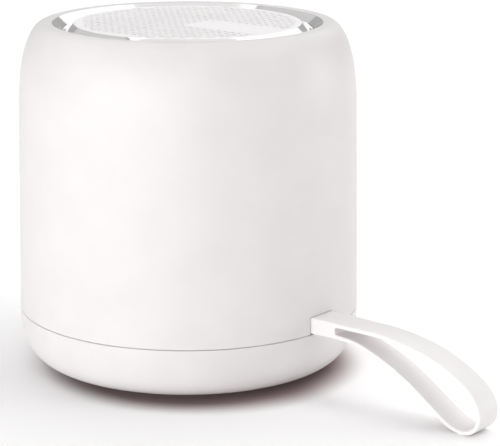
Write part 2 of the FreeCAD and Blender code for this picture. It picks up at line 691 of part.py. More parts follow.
def make_strap_root():
    block = box(PIN_X - 0.2, HINGE_X - 0.05, -STRAP_W / 2, STRAP_W / 2, STRAP_Z0, STRAP_Z1)
    eye = rod(1.7, V(PIN_X - 0.2, -STRAP_W / 2, HINGE_Z), Y_AXIS, STRAP_W)
    socket_cut = rod(KNUCKLE_R + 0.08, V(HINGE_X, -9, HINGE_Z), Y_AXIS, 18)
    wedge_z = HINGE_Z + 3.2
    notch = Part.Face(Part.makePolygon([V(HINGE_X, 0, HINGE_Z), V(HINGE_X - 6, 0, wedge_z),
                                        V(HINGE_X + 2, 0, wedge_z), V(HINGE_X, 0, HINGE_Z)]))
    pin_hole = rod(PIN_R + 0.03, V(PIN_X, -9, HINGE_Z), Y_AXIS, 18)
    return cut(fuse(block, eye), socket_cut, across_strap(notch, 18), pin_hole)


def far_side_cut():
    """What the loop lacks on its far side, from the block's full width outwards."""
    half = STRAP_W / 2
    corners = [(ROOT_TIP_X, half), (50.0, LOOP_FAR_Y), (90.0, LOOP_FAR_Y), (90.0, half + 1),
               (ROOT_TIP_X, half + 1), (ROOT_TIP_X, half)]
    face = Part.Face(Part.makePolygon([V(x, y, -1) for x, y in corners]))
    return face.extrude(V(0, 0, 22))


def make_strap_loop():
    outline = strap_outline()
    start, end = ends(outline)
    face = Part.Face(Part.Wire([outline, Part.makeLine(end, V(HINGE_X, 0, LOOP_LOW_Z)),
                                Part.makeLine(V(HINGE_X, 0, LOOP_LOW_Z), V(HINGE_X, 0, STRAP_Z1)),
                                Part.makeLine(V(HINGE_X, 0, STRAP_Z1), start)]))
    gap = Part.Face(Part.Wire(gap_outline(outline)))
    knuckle = rod(KNUCKLE_R, V(HINGE_X, -STRAP_W / 2, HINGE_Z), Y_AXIS, STRAP_W)
    return cut(across_strap(face).fuse(knuckle), across_strap(gap, 18), far_side_cut())


def make_strap_pin():
    return rod(PIN_R, V(PIN_X, -6.1, HINGE_Z), Y_AXIS, 12.2)


NODES = {
    "body_shell": make_body_shell, "base_cover": make_base_cover, "foot_pad": make_foot_pad,
    "trim_ring": make_trim_ring, "grille_cap": make_grille_cap, "grille_cloth": make_grille_cloth,
    "baffle": make_baffle, "baffle_screws": make_baffle_screws,
    "driver_gasket": make_driver_gasket, "driver_frame": make_driver_frame,
    "driver_screws": make_driver_screws, "driver_yoke": make_driver_yoke,
    "driver_magnet": make_driver_magnet, "driver_top_plate": make_driver_top_plate,
    "driver_terminals": make_driver_terminals, "coil_former": make_coil_former,
    "voice_coil": make_voice_coil, "cone": make_cone, "dust_cap": make_dust_cap,
    "surround": make_surround, "spider": make_spider,
    "chassis": make_chassis, "chassis_screws": make_chassis_screws,
    "base_screws": make_base_screws, "battery_cell": make_battery_cell,
    "battery_pads": make_battery_pads, "battery_clamp": make_battery_clamp,
    "clamp_screws": make_clamp_screws, "main_board": make_main_board,
    "board_screws": make_board_screws, "amplifier_chip": make_amplifier_chip,
    "radio_module": make_radio_module, "power_inductor": make_power_inductor,
    "board_capacitors": make_board_capacitors, "battery_socket": make_battery_socket,
    "speaker_socket": make_speaker_socket, "ribbon_socket": make_ribbon_socket,
    "battery_leads": make_battery_leads, "speaker_leads": make_speaker_leads,
    "control_board": make_control_board, "control_screws": make_control_screws,
    "control_ribbon": make_control_ribbon, "usb_socket": make_usb_socket,
    "microphone": make_microphone, "status_led": make_status_led,
    "light_guide": make_light_guide, "strap_root": make_strap_root,
    "strap_loop": make_strap_loop, "strap_pin": make_strap_pin,
}
for kind in BUTTON_Z:
    NODES["switch_" + kind] = lambda k=kind: make_switch(BUTTON_Z[k])
    NODES["button_" + kind] = lambda k=kind: make_button(k)

os.makedirs("parts", exist_ok=True)
for name, make in NODES.items():
    shape = make()
    assert shape.isValid(), name
    print(f"{name:18s} solids {len(shape.Solids)}  volume {shape.Volume:9.1f} mm3")
    shape.exportStep(f"parts/{name}.step")
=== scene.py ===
"""Looks of the portable speaker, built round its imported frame. Lengths are metres."""

import json
import math

import bmesh
import bpy
from mathutils import Matrix, Vector
from mathutils.geometry import delaunay_2d_cdt


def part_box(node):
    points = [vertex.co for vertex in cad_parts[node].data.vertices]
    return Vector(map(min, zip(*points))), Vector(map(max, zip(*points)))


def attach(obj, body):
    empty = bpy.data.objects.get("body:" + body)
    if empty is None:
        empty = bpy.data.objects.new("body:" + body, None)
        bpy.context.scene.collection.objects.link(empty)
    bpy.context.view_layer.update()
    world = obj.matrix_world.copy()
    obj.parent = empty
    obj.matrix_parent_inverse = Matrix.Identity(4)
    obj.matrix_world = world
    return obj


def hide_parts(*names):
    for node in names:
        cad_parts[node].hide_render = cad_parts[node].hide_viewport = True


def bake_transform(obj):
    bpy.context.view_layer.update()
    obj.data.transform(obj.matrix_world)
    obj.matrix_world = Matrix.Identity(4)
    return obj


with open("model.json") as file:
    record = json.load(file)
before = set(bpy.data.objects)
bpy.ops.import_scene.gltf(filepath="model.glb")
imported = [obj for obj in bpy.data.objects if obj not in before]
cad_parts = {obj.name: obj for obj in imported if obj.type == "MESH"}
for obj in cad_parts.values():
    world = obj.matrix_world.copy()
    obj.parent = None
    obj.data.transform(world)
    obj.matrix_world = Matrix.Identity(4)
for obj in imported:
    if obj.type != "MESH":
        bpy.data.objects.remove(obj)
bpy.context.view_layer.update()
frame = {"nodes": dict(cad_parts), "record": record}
MM = 0.001

# ---- sizes read from the frame -----------------------------------------
_, SHELL_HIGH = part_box("body_shell")
BASE_LOW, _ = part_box("base_cover")
CAP_LOW, CAP_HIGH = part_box("grille_cap")
_, FOOT_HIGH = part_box("foot_pad")
TRIM_LOW, TRIM_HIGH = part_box("trim_ring")
ROOT_LOW, ROOT_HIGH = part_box("strap_root")
LOOP_LOW, LOOP_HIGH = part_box("strap_loop")

# ---- driving sizes, as the design has them -----------------------------
SEAM_Z = 13.4 * MM
SEAM_GAP = 0.26 * MM
SHOULDER_Z = 58.9 * MM
WALL_R = 38.0 * MM
TAPER = 0.0154
RIM_R = 31.4 * MM
LIP_R = 29.66 * MM
LIP_DROP = 0.04 * MM
BASE_R = 29.9 * MM
WALL_T = 2.3 * MM
DISC_R = 25.03 * MM
GROOVE_Z = 75.4 * MM
GROOVE_R0, GROOVE_R1 = 26.7 * MM, 27.75 * MM
SHOULDER_POWER, BASE_POWER, HOLLOW_POWER = 2.07, 2.4, 2.6
BORE_R, BORE_Z = 28.6 * MM, 71 * MM          # bore of the shell under the trim ring's shelf
HOLLOW_Z = 60 * MM                           # where the shell's inside turns into its shoulder
RECESS_R, RECESS_Z = 36.5 * MM, 17 * MM      # recess in the shell for the base's tongue
TONGUE_R0, TONGUE_R1 = 34.8 * MM, 36.3 * MM
TONGUE_Z = 16.4 * MM
POCKET_R, POCKET_Z = 26.1 * MM, 2.2 * MM     # pocket for the foot
BASE_FLOOR_R, BASE_FLOOR_Z = 27 * MM, 3.7 * MM
BASE_WALL_Z = 12 * MM                        # where the base's inside turns upright
EDGE_R = 0.12 * MM                           # rounding of the moulded edges
TRIM_EDGE_R = 0.06 * MM
FOOT_EDGE_R = 0.5 * MM
FOOT_GROOVE = [(22.5 * MM, 0), (22.7 * MM, 0.4 * MM), (23.3 * MM, 0.4 * MM), (23.5 * MM, 0)]   # (r, z)
FIT_GAP = 0.05 * MM                          # between the trim ring and the grille
SKIRT_EDGE = 0.05 * MM                       # chamfer of the grille at the groove floor
SKIRT_R, SKIRT_Z = 26.3 * MM, GROOVE_Z - 0.9 * MM   # inside of the grille's skirt
FIELD_R = DISC_R - 0.6 * MM                  # flat field of the disc
HOLE_EDGE = 0.06 * MM
PLATE_T = 1.0 * MM
HOLE_PITCH = 1.98 * MM
HOLE_R = 0.45 * MM
HOLE_LIMIT_R = 23.5 * MM
PATCH_X, PATCH_Y = 2.6 * MM, 5.2 * MM
STRAP_W = LOOP_HIGH.y - LOOP_LOW.y
STRIP_T = 0.92 * MM
STRAP_Z0, STRAP_Z1 = ROOT_LOW.z, ROOT_HIGH.z
LOOP_LOW_Z = 13.8 * MM
LOOP_FAR_Y = 3.1 * MM
SPLIT_X = 44.1 * MM
GAP_CORNER_R = 0.35 * MM
SLOT_GAP = 0.15 * MM
BLOCK_BACK = 0.6 * MM                        # the visual block starts this far out from the root's end
BLOCK_SHORT = 0.3 * MM                       # and ends this far before the split
BLOCK_SLOPE_X, BLOCK_SLOPE_L = 40 * MM, 3.4 * MM    # the block's underside rises here
NARROW_X = 50 * MM                           # the loop has its narrow width from here on
STRAP_EDGE_R = 0.2 * MM
WALL_CUT = (30 * MM, 45 * MM)                # from and to, along X, of cutters through the wall
BASE_CUT_X = 37 * MM                         # the notch in the base reaches out to here
BUTTON_R = 3.6 * MM
BUTTON_GAP = 0.15 * MM
BUTTON_PROUD = 0.25 * MM
BUTTON_EDGE_R = 0.35 * MM
BUTTON_BACK_X = -33.2 * MM
MARK_LOW, MARK_HIGH = 0.2 * MM, 0.18 * MM    # a mark's depth in the cap, and its height on it
USB_W, USB_H, USB_CORNER_R = 9.5 * MM, 3.8 * MM, 1.85 * MM
LED_R, MIC_R = 0.8 * MM, 0.5 * MM
USB_Z = 22.5 * MM
PINHOLE_Y, PINHOLE_Z = 3.5 * MM, 28.6 * MM
ROUND_STEPS = 224
BUTTONS = ("minus", "play", "plus")

RIM_Z = SHELL_HIGH.z
DISC_Z = CAP_HIGH.z
BASE_Z = BASE_LOW.z


def wall_r(z):
    return WALL_R - TAPER * (z - SEAM_Z)


# ---- camera ------------------------------------------------------------
CAMERA_AZIMUTH = 41.4       # degrees from -Y towards +X
CAMERA_RANGE = 428.5 * MM   # from the drum's axis
CAMERA_HEIGHT = 139.6 * MM
CAMERA_PITCH = 14.185       # degrees below level
CAMERA_YAW = 1.839          # degrees to the right of the axis
CAMERA_ROLL = 0.14
LENS = 141.35               # mm on a 36 mm wide sensor


def add_camera():
    data = bpy.data.cameras.new("camera")
    data.lens = LENS
    data.sensor_width = 36.0
    data.clip_start = 0.01
    data.clip_end = 50.0
    camera = bpy.data.objects.new("camera", data)
    bpy.context.scene.collection.objects.link(camera)
    a = math.radians(CAMERA_AZIMUTH)
    place = Vector((CAMERA_RANGE * math.sin(a), -CAMERA_RANGE * math.cos(a), CAMERA_HEIGHT))
    turn = (Matrix.Rotation(a - math.radians(CAMERA_YAW), 4, "Z")
            @ Matrix.Rotation(math.radians(90 - CAMERA_PITCH), 4, "X")
            @ Matrix.Rotation(math.radians(CAMERA_ROLL), 4, "Z"))
    camera.matrix_world = Matrix.Translation(place) @ turn
    bpy.context.scene.camera = camera


# ---- mesh helpers ------------------------------------------------------
def new_object(name, bm, material, sharp_angle=35.0):
    """Makes an object of a bmesh, smooth but for its corners."""
    bmesh.ops.recalc_face_normals(bm, faces=bm.faces)
    mesh = bpy.data.meshes.new(name)
    bm.to_mesh(mesh)
    bm.free()
    mesh.shade_smooth()
    mesh.set_sharp_from_angle(angle=math.radians(sharp_angle))
    mesh.materials.append(material)
    piece = bpy.data.objects.new(name, mesh)
    bpy.context.scene.collection.objects.link(piece)
    return piece


def arc(center_r, center_z, radius, start, end, steps):
    """Points on an arc, angles in degrees from the outward direction."""
    points = []
    for i in range(steps + 1):
        a = math.radians(start + (end - start) * i / steps)
        points.append((center_r + radius * math.cos(a), center_z + radius * math.sin(a)))
    return points


def superellipse(r_in, r_out, z_flat, z_end, power, steps=28):
    """Points from the wall (r_out, z_flat) round to the level end (r_in, z_end)."""
    points = []
    for i in range(steps + 1):
        a = math.pi / 2 * i / steps
        c = max(math.cos(a), 0.0) ** (2 / power)
        s = math.sin(a) ** (2 / power)
        points.append((r_in + (r_out - r_in) * c, z_flat + (z_end - z_flat) * s))
    return points


def straight(start, end, steps):
    """Points after start, up to and including end."""
    return [(start[0] + (end[0] - start[0]) * i / steps,
             start[1] + (end[1] - start[1]) * i / steps) for i in range(1, steps + 1)]


def lathe_faces(bm, profile, closed=True, steps=ROUND_STEPS, first_ring=None, last_ring=None):
    """Turns a profile of (r, z) about Z. A ring that is given is joined to, not made."""
    rings = []
    for k, (r, z) in enumerate(profile):
        if k == 0 and first_ring:
            rings.append(first_ring)
        elif k == len(profile) - 1 and last_ring:
            rings.append(last_ring)
        elif r < 1e-7:
            rings.append([bm.verts.new((0, 0, z))])
        else:
            angles = [2 * math.pi * i / steps for i in range(steps)]
            rings.append([bm.verts.new((r * math.cos(a), r * math.sin(a), z)) for a in angles])
    pairs = list(zip(rings, rings[1:]))
    if closed:
        pairs.append((rings[-1], rings[0]))
    for low, high in pairs:
        for i in range(steps):
            j = (i + 1) % steps
            corners = [low[i % len(low)], low[j % len(low)], high[j % len(high)], high[i % len(high)]]
            unique = list(dict.fromkeys(corners))
            if len(unique) > 2:
                bm.faces.new(unique)
    return rings


def lathe(name, profile, material, closed=True, sharp_angle=35.0):
    bm = bmesh.new()
    lathe_faces(bm, profile, closed)
    return new_object(name, bm, material, sharp_angle)


def cutter(bm_build):
    """A throwaway object for a boolean, built by a function that fills a bmesh."""
    bm = bmesh.new()
    bm_build(bm)
    bmesh.ops.recalc_face_normals(bm, faces=bm.faces)
    mesh = bpy.data.meshes.new("cutter")
    bm.to_mesh(mesh)
    bm.free()
    piece = bpy.data.objects.new("cutter", mesh)
    bpy.context.scene.collection.objects.link(piece)
    return piece


def prism(bm, outline, x0, x1):
    """A prism along X over an outline of (y, z) points."""
    near = [bm.verts.new((x0, y, z)) for y, z in outline]
    far = [bm.verts.new((x1, y, z)) for y, z in outline]
    bm.faces.new(near)
    bm.faces.new(far[::-1])
    for i in range(len(outline)):
        j = (i + 1) % len(outline)
        bm.faces.new([near[i], far[i], far[j], near[j]])


def rounded_slot(width, height, z, corner, steps=8):
    """Outline of a rectangle with round corners, centred on y = 0."""
    points = []
    for k, (sy, sz) in enumerate(((1, 1), (-1, 1), (-1, -1), (1, -1))):
        cy, cz = sy * (width / 2 - corner), z + sz * (height / 2 - corner)
        for i in range(steps + 1):
            a = math.radians(90 * k + 90 * i / steps)
            points.append((cy + corner * math.cos(a), cz + corner * math.sin(a)))
    return points


def circle(radius, y, z, steps=64):
    angles = [2 * math.pi * i / steps for i in range(steps)]
    return [(y + radius * math.cos(a), z + radius * math.sin(a)) for a in angles]


def wall_cutter(outline, x0, x1):
    """A cutter along X over an outline of (y, z) points."""
    return cutter(lambda bm: prism(bm, outline, x0, x1))


def subtract(piece, cutters):
    for tool in cutters:
        cut = piece.modifiers.new("cut", "BOOLEAN")
        cut.operation = "DIFFERENCE"
        cut.solver = "EXACT"
        cut.object = tool
    apply_modifiers(piece)
    for tool in cutters:
        bpy.data.objects.remove(tool)


def apply_modifiers(piece, sharp_angle=35.0):
    bpy.context.view_layer.update()
    graph = bpy.context.evaluated_depsgraph_get()
    mesh = bpy.data.meshes.new_from_object(piece.evaluated_get(graph))
    piece.modifiers.clear()
    piece.data = mesh
    mesh.shade_smooth()
    mesh.set_sharp_from_angle(angle=math.radians(sharp_angle))


# ---- materials ---------------------------------------------------------
def material(name, color, roughness, **sockets):
    """A Principled material; sockets are further inputs by name."""
    made = bpy.data.materials.new(name)
    made.use_nodes = True
    shader = made.node_tree.nodes["Principled BSDF"]
    shader.inputs["Base Color"].default_value = (*color, 1)
    shader.inputs["Roughness"].default_value = roughness
    for key, value in sockets.items():
        shader.inputs[key.replace("_", " ")].default_value = value
    return made


def noise(made, size, detail=2.0):
    """A noise texture in the object's own space, with grains of that size."""
    tree = made.node_tree
    place = tree.nodes.new("ShaderNodeTexCoord")
    texture = tree.nodes.new("ShaderNodeTexNoise")
    texture.inputs["Scale"].default_value = 1 / size
    texture.inputs["Detail"].default_value = detail
    tree.links.new(place.outputs["Object"], texture.inputs["Vector"])
    return texture.outputs["Fac"]


def shade_with(made, fac, color_a, color_b):
    """Colours the surface between two tints by a texture."""
    tree = made.node_tree
    ramp = tree.nodes.new("ShaderNodeValToRGB")
    ramp.color_ramp.elements[0].position = 0.3
    ramp.color_ramp.elements[1].position = 0.7
    ramp.color_ramp.elements[0].color = (*color_a, 1)
    ramp.color_ramp.elements[1].color = (*color_b, 1)
    tree.links.new(fac, ramp.inputs["Fac"])
    tree.links.new(ramp.outputs["Color"], tree.nodes["Principled BSDF"].inputs["Base Color"])


def roughen(made, fac, low, high):
    tree = made.node_tree
    spread = tree.nodes.new("ShaderNodeMapRange")
    spread.inputs["From Min"].default_value = 0.3
    spread.inputs["From Max"].default_value = 0.7
    spread.inputs["To Min"].default_value = low
    spread.inputs["To Max"].default_value = high
    tree.links.new(fac, spread.inputs["Value"])
    tree.links.new(spread.outputs["Result"], tree.nodes["Principled BSDF"].inputs["Roughness"])


def bump(made, fac, depth, strength=1.0):
    tree = made.node_tree
    relief = tree.nodes.new("ShaderNodeBump")
    relief.inputs["Distance"].default_value = depth
    relief.inputs["Strength"].default_value = strength
    tree.links.new(fac, relief.inputs["Height"])
    tree.links.new(relief.outputs["Normal"], tree.nodes["Principled BSDF"].inputs["Normal"])


def moulded(name, color, roughness, grain=0.35 * MM, depth=0.004 * MM, vary=0.012, **sockets):
    """Moulded plastic or rubber: fine grain, and a slight drift of tint and gloss."""
    made = material(name, color, roughness, **sockets)
    drift = noise(made, 9 * MM, 3.0)
    dark = [max(c - vary, 0) for c in color]
    light = [min(c + vary, 1) for c in color]
    shade_with(made, drift, dark, light)
    roughen(made, drift, roughness - 0.03, roughness + 0.03)
    bump(made, noise(made, grain, 2.0), depth)
    return made


WHITE = (0.71, 0.686, 0.684)
SHELL = moulded("shell_matte", WHITE, 0.42, Specular_IOR_Level=0.35)
TRIM = moulded("trim_gloss", (0.84, 0.825, 0.828), 0.08, grain=3 * MM, depth=0.0005 * MM, vary=0.004,
               Metallic=0.85)
GRILLE = moulded("grille_matte", (0.87, 0.85, 0.855), 0.5, grain=0.25 * MM, vary=0.006)
STRAP = moulded("strap_silicone", (0.8, 0.775, 0.775), 0.45, grain=0.2 * MM, depth=0.002 * MM,
                Specular_IOR_Level=0.3)
BUTTON = moulded("button_satin", (0.735, 0.715, 0.717), 0.38, grain=0.3 * MM)
FOOT = moulded("foot_rubber", (0.035, 0.033, 0.033), 0.75, grain=0.4 * MM, depth=0.02 * MM, vary=0.006)


THREAD = 0.35 * MM


def make_cloth():
    made = material("acoustic_cloth", (0.25, 0.245, 0.245), 0.9)
    tree = made.node_tree
    place = tree.nodes.new("ShaderNodeTexCoord")
    waves = []
    for axis in ("X", "Y"):
        wave = tree.nodes.new("ShaderNodeTexWave")
        wave.bands_direction = axis
        wave.inputs["Scale"].default_value = 1 / THREAD / 6.283
        tree.links.new(place.outputs["Object"], wave.inputs["Vector"])
        waves.append(wave)
    weave = tree.nodes.new("ShaderNodeMath")
    weave.operation = "MULTIPLY"
    for i, wave in enumerate(waves):
        tree.links.new(wave.outputs["Fac"], weave.inputs[i])
    shade_with(made, weave.outputs["Value"], (0.12, 0.118, 0.118), (0.36, 0.355, 0.35))
    bump(made, weave.outputs["Value"], 0.05 * MM)
    return made


def metal(name, color, roughness):
    made = material(name, color, roughness, Metallic=1.0)
    scratch = noise(made, 0.6 * MM, 6.0)
    roughen(made, scratch, roughness - 0.08, roughness + 0.08)
    bump(made, scratch, 0.003 * MM)
    return made


SLOT_LOOKS = {
    "shell": SHELL, "trim": TRIM, "grille": GRILLE, "strap_rubber": STRAP, "button": BUTTON,
    "foot_rubber": FOOT, "cloth": make_cloth(),
    "dark_plastic": moulded("dark_plastic", (0.025, 0.025, 0.027), 0.5,
                            grain=0.5 * MM, depth=0.01 * MM),
    "pale_plastic": moulded("pale_plastic", (0.66, 0.62, 0.52), 0.4),
    "clear_plastic": material("clear_guide", (0.92, 0.94, 0.96), 0.15,
                              Transmission_Weight=0.9, IOR=1.49),
    "steel": metal("steel", (0.56, 0.56, 0.57), 0.32),
    "ferrite": moulded("ferrite", (0.03, 0.03, 0.032), 0.65, grain=0.5 * MM, depth=0.02 * MM),
    "frame_metal": moulded("painted_frame", (0.02, 0.02, 0.022), 0.4),
    "paper": moulded("pressed_paper", (0.03, 0.03, 0.03), 0.8, grain=0.5 * MM, depth=0.03 * MM),
    "copper": metal("copper_wire", (0.72, 0.33, 0.16), 0.3),
    "cell": moulded("cell_wrap", (0.02, 0.12, 0.32), 0.3),
    "foam": moulded("foam", (0.05, 0.05, 0.05), 0.95, grain=0.6 * MM, depth=0.1 * MM),
    "board": moulded("solder_mask", (0.01, 0.12, 0.05), 0.3),
    "cans": metal("bright_cans", (0.7, 0.7, 0.72), 0.25),
    "wire": moulded("wire_jacket", (0.35, 0.02, 0.02), 0.45),
}


def dress_nodes():
    """Gives every carried-over CAD node the look of its slot."""
    slots = {s["node"]: s["material_slot"] for s in frame["record"]["subparts"]}
    for name, node in frame["nodes"].items():
        look = SLOT_LOOKS[slots[name]]
        if not node.material_slots:
            node.data.materials.append(look)
        for place in node.material_slots:
            place.material = look


# ---- housing -----------------------------------------------------------
def make_shell():
    r1 = wall_r(SHOULDER_Z)
    z0 = SEAM_Z + SEAM_GAP / 4
    profile = [(RECESS_R, z0)]
    profile += arc(wall_r(z0) - EDGE_R, z0 + EDGE_R, EDGE_R, -90, 0, 4)
    profile += straight(profile[-1], (r1, SHOULDER_Z), 30)
    profile += superellipse(RIM_R, r1, SHOULDER_Z, RIM_Z, SHOULDER_POWER, 40)[1:]
    width = RIM_R - LIP_R
    lip_r = (width ** 2 + LIP_DROP ** 2) / (2 * LIP_DROP)
    span = math.degrees(math.asin(width / lip_r))
    profile += arc(RIM_R, RIM_Z - lip_r, lip_r, 90, 90 + span, 6)[1:-1]
    lip_z = RIM_Z - LIP_DROP
    profile += arc(LIP_R + EDGE_R, lip_z - EDGE_R, EDGE_R, 90, 180, 4)
    profile += [(LIP_R, TRIM_LOW.z), (BORE_R, TRIM_LOW.z), (BORE_R, BORE_Z)]
    profile += superellipse(BORE_R, r1 - WALL_T, HOLLOW_Z, BORE_Z, HOLLOW_POWER, 16)[-2::-1]
    profile += [(WALL_R - WALL_T - 0.1 * MM, RECESS_Z), (RECESS_R, RECESS_Z)]
    shell = lathe("shell", profile, SHELL)
    notch_h, corner_r = 12 * MM, 0.3 * MM
    notch_z = STRAP_Z1 + SLOT_GAP - notch_h / 2
    notch = rounded_slot(STRAP_W + 2 * SLOT_GAP, notch_h, notch_z, corner_r)
    tools = [wall_cutter(notch, *WALL_CUT)]
    controls_cut = (-WALL_CUT[1], -WALL_CUT[0])
    outlines = []
    for kind in BUTTONS:
        low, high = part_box("button_" + kind)
        outlines.append(circle(BUTTON_R + BUTTON_GAP, 0, (low.z + high.z) / 2))
    outlines.append(rounded_slot(USB_W, USB_H, USB_Z, USB_CORNER_R))
    outlines.append(circle(LED_R, PINHOLE_Y, PINHOLE_Z, 32))
    outlines.append(circle(MIC_R, -PINHOLE_Y, PINHOLE_Z, 32))
    tools += [wall_cutter(outline, *controls_cut) for outline in outlines]
    subtract(shell, tools)
    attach(shell, "housing")
    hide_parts("body_shell")


def make_base():
    z1 = SEAM_Z - SEAM_GAP / 4
    outer = superellipse(BASE_R, WALL_R, SEAM_Z, BASE_Z, BASE_POWER, 44)
    profile = [(TONGUE_R0, BASE_WALL_Z), (TONGUE_R0, TONGUE_Z), (TONGUE_R1, TONGUE_Z), (TONGUE_R1, z1)]
    profile += arc(WALL_R - EDGE_R, z1 - EDGE_R, EDGE_R, 90, 0, 4)
    profile += [p for p in outer if p[1] < z1 - EDGE_R]
    profile += [(POCKET_R, BASE_Z), (POCKET_R, POCKET_Z), (0, POCKET_Z)]
    profile += [(0, BASE_FLOOR_Z), (BASE_FLOOR_R, BASE_FLOOR_Z)]
    hollow = superellipse(BASE_FLOOR_R, TONGUE_R0, BASE_WALL_Z, BASE_FLOOR_Z, BASE_POWER, 12)
    profile += hollow[-2:0:-1]
    base = lathe("base", profile, SHELL)
    notch_h, corner_r, below = 8 * MM, 0.2 * MM, 0.2 * MM
    notch_z = STRAP_Z0 - below + notch_h / 2
    notch = rounded_slot(STRAP_W + 2 * SLOT_GAP, notch_h, notch_z, corner_r)
    subtract(base, [wall_cutter(notch, WALL_CUT[0], BASE_CUT_X)])
    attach(base, "housing")
    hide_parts("base_cover")


def make_foot():
    r = FOOT_HIGH.x
    top = FOOT_HIGH.z
    profile = [(0, 0), *FOOT_GROOVE]
    profile += arc(r - FOOT_EDGE_R, FOOT_EDGE_R, FOOT_EDGE_R, -90, 0, 6)
    profile += [(r, top), (0, top)]
    foot = lathe("foot", profile, FOOT, closed=False)
    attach(foot, "housing")
    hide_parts("foot_pad")


def make_trim():
    r = TRIM_HIGH.x
    inner_r = GROOVE_R1 + FIT_GAP
    profile = [(r, TRIM_LOW.z), (r, TRIM_HIGH.z - TRIM_EDGE_R),
               (r - TRIM_EDGE_R, TRIM_HIGH.z - 0.2 * TRIM_EDGE_R)]
    profile += straight(profile[-1], (inner_r + TRIM_EDGE_R, GROOVE_Z + TRIM_EDGE_R), 6)
    profile += [(inner_r, GROOVE_Z), (inner_r, TRIM_LOW.z)]
    trim = lathe("trim", profile, TRIM, sharp_angle=20)
    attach(trim, "housing")
    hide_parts("trim_ring")


# ---- grille ------------------------------------------------------------
def hole_spots():
    """Centres of the square lattice's holes: inside the field and off the plain patch."""
    spots = []
    for i in range(-12, 13):
        for j in range(-12, 13):
            x, y = i * HOLE_PITCH, j * HOLE_PITCH
            in_patch = x > PATCH_X and abs(y) < PATCH_Y
            if math.hypot(x, y) <= HOLE_LIMIT_R and not in_patch:
                spots.append((x, y))
    return spots


def make_grille():
    """The perforated disc with its skirt, as one closed solid."""
    hole_steps = 20
    z_top, z_low = DISC_Z, DISC_Z - PLATE_T
    loops = [circle(FIELD_R, 0, 0, ROUND_STEPS)]
    spots = hole_spots()
    for x, y in spots:
        loops.append(circle(HOLE_R + HOLE_EDGE, x, y, hole_steps))
    flat, edges = [], []
    for loop in loops:
        start = len(flat)
        flat += [Vector(p) for p in loop]
        edges += [(start + i, start + (i + 1) % len(loop)) for i in range(len(loop))]
    points, _, faces, _, _, _ = delaunay_2d_cdt(flat, edges, [], 0, 1e-9)

    def in_hole(face):
        middle = sum((points[i] for i in face), Vector((0, 0))) / len(face)
        column, row = round(middle.x / HOLE_PITCH), round(middle.y / HOLE_PITCH)
        near = (column * HOLE_PITCH, row * HOLE_PITCH)
        away = math.hypot(middle.x - near[0], middle.y - near[1])
        return away < HOLE_R and (near[0], near[1]) in holes

    holes = set(spots)
    bm = bmesh.new()
    top = [bm.verts.new((p.x, p.y, z_top)) for p in points]
    low = [bm.verts.new((p.x, p.y, z_low)) for p in points]
    for face in faces:
        if not in_hole(face):
            bm.faces.new([top[i] for i in face])
            bm.faces.new([low[i] for i in reversed(face)])
    for k, (x, y) in enumerate(spots):
        first = ROUND_STEPS + k * hole_steps
        bore = [bm.verts.new((a, b, z_top - HOLE_EDGE)) for a, b in circle(HOLE_R, x, y, hole_steps)]
        for i in range(hole_steps):
            j = (i + 1) % hole_steps
            bm.faces.new([top[first + i], top[first + j], bore[j], bore[i]])
            bm.faces.new([bore[i], bore[j], low[first + j], low[first + i]])
    slope = (DISC_R, z_top - 0.12 * MM)
    foot = (GROOVE_R0, GROOVE_Z)
    rounding = [(DISC_R - 0.25 * MM, z_top), (DISC_R - 0.12 * MM, z_top - 0.03 * MM), slope]
    profile = [(FIELD_R, z_top)] + rounding + straight(slope, foot, 5)
    profile += [(GROOVE_R1 - SKIRT_EDGE, GROOVE_Z), (GROOVE_R1, GROOVE_Z - SKIRT_EDGE)]
    profile += [(GROOVE_R1, CAP_LOW.z), (SKIRT_R, CAP_LOW.z), (SKIRT_R, SKIRT_Z), (FIELD_R, z_low)]
    lathe_faces(bm, profile, closed=False, first_ring=top[:ROUND_STEPS], last_ring=low[:ROUND_STEPS])
    grille = new_object("grille", bm, GRILLE, 28)
    grille.data.materials.append(TRIM)
    for face in grille.data.polygons:
        if math.hypot(face.center.x, face.center.y) > DISC_R:
            face.material_index = 1
        in_patch = face.center.x > PATCH_X and abs(face.center.y) < PATCH_Y
        if in_patch and abs(face.normal.z) > 0.999:
            face.use_smooth = False
    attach(grille, "housing")
    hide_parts("grille_cap")


# ---- strap -------------------------------------------------------------
LOOP_POINTS = [(43.4, 17.25), (45.8, 17.22), (54.0, 17.2), (61.9, 16.4), (68.0, 14.9), (73.9, 12.4),
               (79.0, 8.8), (80.95, 5.2), (80.3, 1.8), (77.6, 0.05), (74.1, 0.45), (70.9, 2.15),
               (66.2, 5.4), (60.8, 8.8), (54.3, 11.8), (48.8, 13.45), (43.4, 13.8)]


